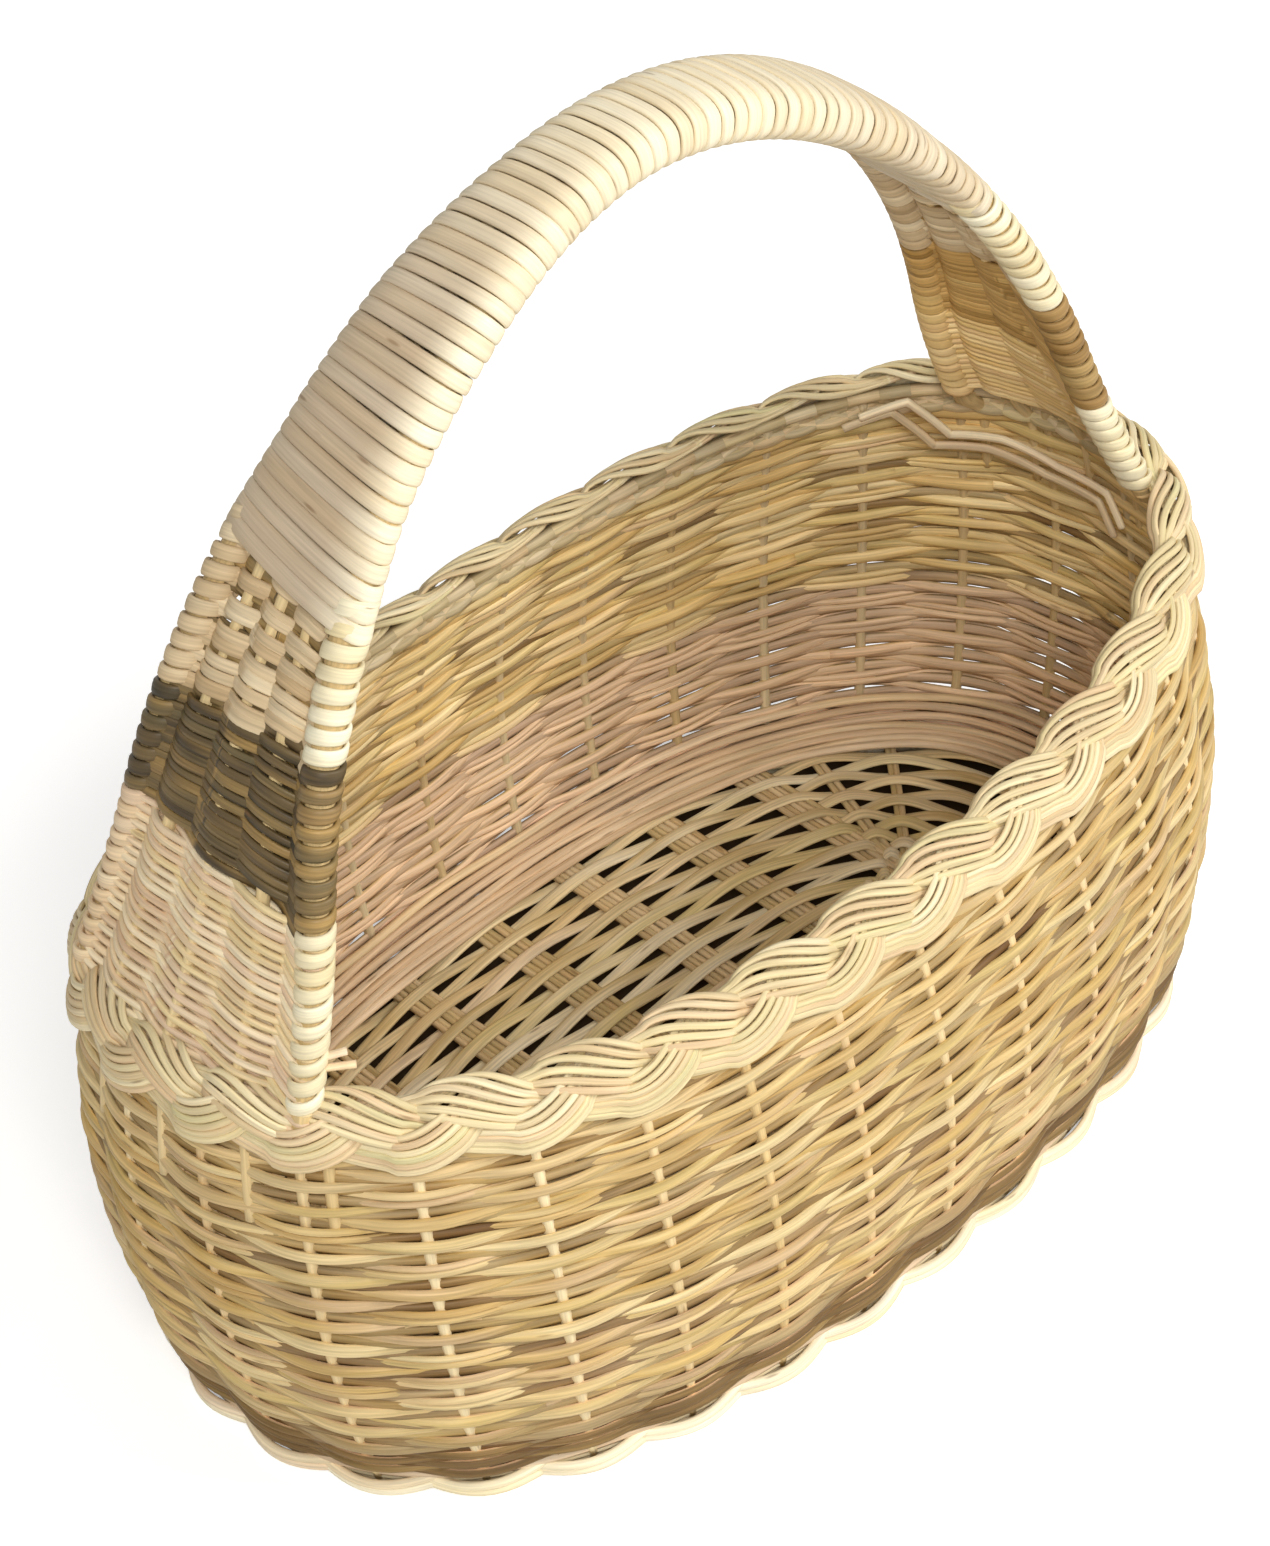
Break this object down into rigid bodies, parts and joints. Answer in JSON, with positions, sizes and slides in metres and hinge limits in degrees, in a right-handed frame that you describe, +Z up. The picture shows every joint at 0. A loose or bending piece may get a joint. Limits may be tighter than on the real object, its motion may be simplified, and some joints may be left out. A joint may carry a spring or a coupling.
{
  "type": "wicker shopping basket",
  "caption": "Oval tub of woven willow with a plaited rim, a foot border and a fixed wrapped bow handle along its length, for carrying shopping.",
  "frame": {"origin": "on the floor, under the middle of the tub", "axes": "+X along the length and under the handle's arch, +Y across, +Z up"},
  "size_m": [0.441, 0.2613, 0.4054],
  "materials": {
    "plait": "peeled pale willow, smooth, faint satin",
    "weave": "straw yellow willow weavers, satin",
    "close_weave": "golden willow weavers, closely packed, satin",
    "dark": "olive brown willow with bark, matt",
    "stake": "peeled willow stake, satin",
    "base": "olive tan flat willow weavers, matt",
    "stick": "thick willow sticks, matt",
    "wrap": "flat peeled willow strip, satin",
    "bow": "thick peeled willow rod, satin"
  },
  "bodies": {
    "root": {"base_cross_stick_1": "stick", "base_cross_stick_2": "stick", "base_cross_stick_3": "stick", "base_cross_stick_4": "stick", "base_cross_stick_5": "stick", "base_cross_stick_6": "stick", "base_cross_stick_7": "stick", "base_edge_rod": "stick", "base_end_stick_left": "stick", "base_end_stick_right": "stick", "base_weave": "base", "dark_band": "dark", "foot_border": "plait", "handle_bow_far": "bow", "handle_bow_near": "bow", "handle_rib_far": "stake", "handle_rib_middle": "stake", "handle_rib_near": "stake", "handle_wrap": "wrap", "leg_dark_band_left": "dark", "leg_dark_band_right": "dark", "leg_open_weave_left": "weave", "leg_open_weave_right": "weave", "leg_weave_left": "close_weave", "leg_weave_right": "close_weave", "rim_plait": "plait", "side_weave_lower": "weave", "side_weave_upper": "close_weave", "stake_01": "stake", "stake_02": "stake", "stake_03": "stake", "stake_04": "stake", "stake_05": "stake", "stake_06": "stake", "stake_07": "stake", "stake_08": "stake", "stake_09": "stake", "stake_10": "stake", "stake_11": "stake", "stake_12": "stake", "stake_13": "stake", "stake_14": "stake", "stake_15": "stake", "stake_16": "stake", "stake_17": "stake", "stake_18": "stake", "stake_19": "stake", "stake_20": "stake", "stake_21": "stake", "stake_22": "stake", "stake_23": "stake", "stake_24": "stake", "stake_25": "stake", "stake_26": "stake", "stake_27": "stake", "stake_28": "stake", "stake_29": "stake", "stake_30": "stake"}
  },
  "joints": []
}
